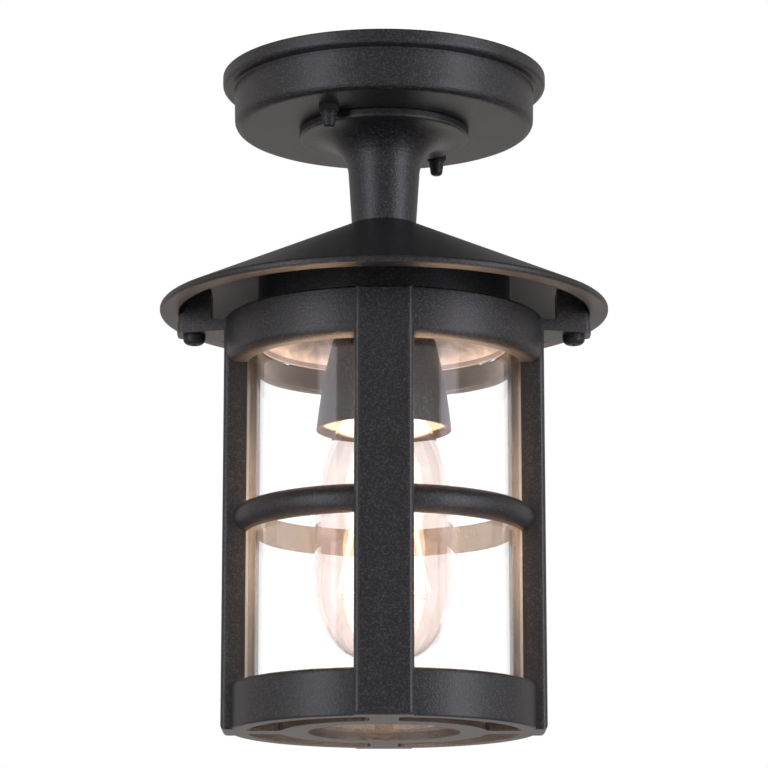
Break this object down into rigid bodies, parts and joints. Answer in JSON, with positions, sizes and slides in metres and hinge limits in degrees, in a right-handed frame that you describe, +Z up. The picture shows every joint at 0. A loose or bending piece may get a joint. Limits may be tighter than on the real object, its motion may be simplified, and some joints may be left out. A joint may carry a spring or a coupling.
{
  "type": "porch ceiling lantern",
  "caption": "Cast ceiling lantern: round canopy, flared stem, conical roof and strutted cage round a clear glass cylinder, its screw-in lamp changed through the pierced floor.",
  "frame": {"origin": "centre of the ceiling face, on the axis of the canopy, between the strap's fixing holes", "axes": "+Z up into the ceiling, front of the lantern towards -Y, its screw lugs along X"},
  "size_m": [0.1926, 0.1926, 0.2859],
  "materials": {
    "cast_black": "fine-textured satin black powder coat on cast aluminium",
    "zinc_steel": "bright zinc plate",
    "black_screw": "satin black plated steel",
    "brass": "turned brass",
    "nickel": "nickel-bright rolled shell",
    "black_rubber": "matt",
    "pale_silicone": "translucent silicone",
    "white_nylon": "moulded nylon",
    "live_lead": "heatproof sleeve",
    "neutral_lead": "heatproof sleeve",
    "porcelain": "glazed",
    "black_glass": "vitrite",
    "clear_glass": "clear, polished",
    "glowing_filament": "hot filament"
  },
  "bodies": {
    "ceiling_strap": {"ceiling_bracket": "zinc_steel", "bracket_studs": "zinc_steel", "stud_locknuts": "zinc_steel"},
    "lantern_head": {"canopy": "cast_black", "terminal_block": "white_nylon", "terminal_screws": "brass", "block_screw": "zinc_steel", "earth_screw": "brass", "earth_washer": "brass", "stem": "cast_black", "stem_gasket": "black_rubber", "nipple": "zinc_steel", "nipple_nuts": "zinc_steel", "nipple_washers": "zinc_steel", "lead_live": "live_lead", "lead_neutral": "neutral_lead", "roof": "cast_black", "lamp_plate": "cast_black", "plate_screws": "zinc_steel", "glass_gasket": "pale_silicone", "shade": "cast_black", "shade_ring": "porcelain", "lampholder_body": "porcelain", "lampholder_shell": "nickel", "lampholder_contact": "brass"},
    "front_nut": {"cap_washer_front": "black_rubber", "cap_nut_front": "black_screw"},
    "rear_nut": {"cap_washer_rear": "black_rubber", "cap_nut_rear": "black_screw"},
    "lamp": {"bulb_glass": "clear_glass", "bulb_cap": "nickel", "bulb_insulator": "black_glass", "bulb_contact": "zinc_steel", "bulb_stem": "clear_glass", "filament_supports": "zinc_steel", "bulb_filament": "glowing_filament"},
    "cage_assembly": {"cage": "cast_black", "glass_cylinder": "clear_glass", "glass_pads": "pale_silicone"},
    "left_screw": {"cage_screw_left": "black_screw"},
    "right_screw": {"cage_screw_right": "black_screw"}
  },
  "joints": [
    {"name": "head_lowers", "type": "slide", "parent": "ceiling_strap", "child": "lantern_head", "axis": [0, 0, -1], "range_m": [0, 0.045]},
    {"name": "front_nut_unscrews", "type": "slide", "parent": "lantern_head", "child": "front_nut", "axis": [0, 0, -1], "range_m": [0, 0.015]},
    {"name": "rear_nut_unscrews", "type": "slide", "parent": "lantern_head", "child": "rear_nut", "axis": [0, 0, -1], "range_m": [0, 0.015]},
    {"name": "cage_lowers", "type": "slide", "parent": "lantern_head", "child": "cage_assembly", "axis": [0, 0, -1], "range_m": [0, 0.16]},
    {"name": "left_screw_backs_out", "type": "slide", "parent": "cage_assembly", "child": "left_screw", "axis": [0, 0, -1], "range_m": [0, 0.018]},
    {"name": "right_screw_backs_out", "type": "slide", "parent": "cage_assembly", "child": "right_screw", "axis": [0, 0, -1], "range_m": [0, 0.018]},
    {"name": "lamp_withdraws", "type": "slide", "parent": "lantern_head", "child": "lamp", "axis": [0, 0, -1], "range_m": [0, 0.175]}
  ]
}
